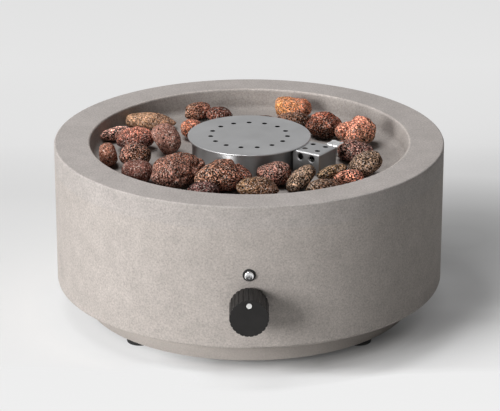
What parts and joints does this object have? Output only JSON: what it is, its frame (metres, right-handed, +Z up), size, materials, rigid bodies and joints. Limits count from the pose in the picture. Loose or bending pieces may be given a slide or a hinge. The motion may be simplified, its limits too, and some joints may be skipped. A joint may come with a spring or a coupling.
{
  "type": "tabletop gas fire pit",
  "caption": "Round cast tabletop gas fire pit with a steel burner, pilot hood and lava rocks in a shallow basin, a push-and-turn knob in front and rubber feet.",
  "frame": {"origin": "bowl's vertical axis at the plane that the rubber feet stand on", "axes": "+Z up, -Y towards the knob at the front, +X to the right seen from the front"},
  "size_m": [0.43, 0.4885, 0.2069],
  "materials": {
    "cast_concrete": "matt cast concrete with fine sand grain",
    "plinth_paint": "matt textured paint",
    "zinc_steel": "zinc plated",
    "black_rubber": "matt",
    "brushed_steel": "fine brushed",
    "brass": "machined",
    "black_plastic": "fine matt",
    "white_plastic": "satin",
    "bright_chrome": "polished",
    "aluminium_pipe": "drawn",
    "copper_probe": "drawn copper",
    "white_ceramic": "unglazed",
    "lead_sleeve": "silicone sleeve",
    "lava_stone": "rough porous lava"
  },
  "bodies": {
    "fire_pit": {"bowl_shell": "cast_concrete", "base_ring": "plinth_paint", "plinth_bolts": "zinc_steel", "rubber_feet": "black_rubber", "foot_screws": "zinc_steel", "foot_nuts": "zinc_steel", "bottom_cover": "plinth_paint", "cover_screws": "zinc_steel", "burner_drum": "brushed_steel", "burner_lid": "brushed_steel", "burner_nipple": "zinc_steel", "burner_washer": "zinc_steel", "burner_nut": "zinc_steel", "mixer_tube": "zinc_steel", "orifice_holder": "brass", "valve_bracket": "zinc_steel", "gas_valve": "brass", "valve_screws": "zinc_steel", "valve_spring": "zinc_steel", "piezo_igniter": "black_plastic", "safety_magnet": "brass", "bracket_screw": "bright_chrome", "bracket_washer": "black_rubber", "bracket_nut": "zinc_steel", "inlet_fitting": "brass", "inlet_nut": "brass", "inlet_pipe": "aluminium_pipe", "burner_pipe": "aluminium_pipe", "flare_nuts": "brass", "flame_hood": "brushed_steel", "hood_tab": "bright_chrome", "tab_screw": "bright_chrome", "pilot_plate": "brushed_steel", "thermocouple": "copper_probe", "electrode_ceramic": "white_ceramic", "spark_electrode": "zinc_steel", "ignition_lead": "lead_sleeve", "thermocouple_lead": "copper_probe", "lava_rock_01": "lava_stone", "lava_rock_02": "lava_stone", "lava_rock_03": "lava_stone", "lava_rock_04": "lava_stone", "lava_rock_05": "lava_stone", "lava_rock_06": "lava_stone", "lava_rock_07": "lava_stone", "lava_rock_08": "lava_stone", "lava_rock_09": "lava_stone", "lava_rock_10": "lava_stone", "lava_rock_11": "lava_stone", "lava_rock_12": "lava_stone", "lava_rock_13": "lava_stone", "lava_rock_14": "lava_stone", "lava_rock_15": "lava_stone", "lava_rock_16": "lava_stone", "lava_rock_17": "lava_stone", "lava_rock_18": "lava_stone"},
    "plunger": {"stem_plunger": "brass"},
    "knob": {"valve_stem": "zinc_steel", "knob": "black_plastic", "knob_marker": "white_plastic"}
  },
  "joints": [
    {"name": "knob_push", "type": "slide", "parent": "fire_pit", "child": "plunger", "axis": [0, 1, 0], "range_m": [0, 0.0025], "stiffness_N_per_m": 800, "springref_m": -0.004, "deforming": ["valve_spring"]},
    {"name": "knob_turn", "type": "hinge", "parent": "plunger", "child": "knob", "pos_m": [0, -0.235, 0.0836], "axis": [0, -1, 0], "range_deg": [0, 180]}
  ]
}
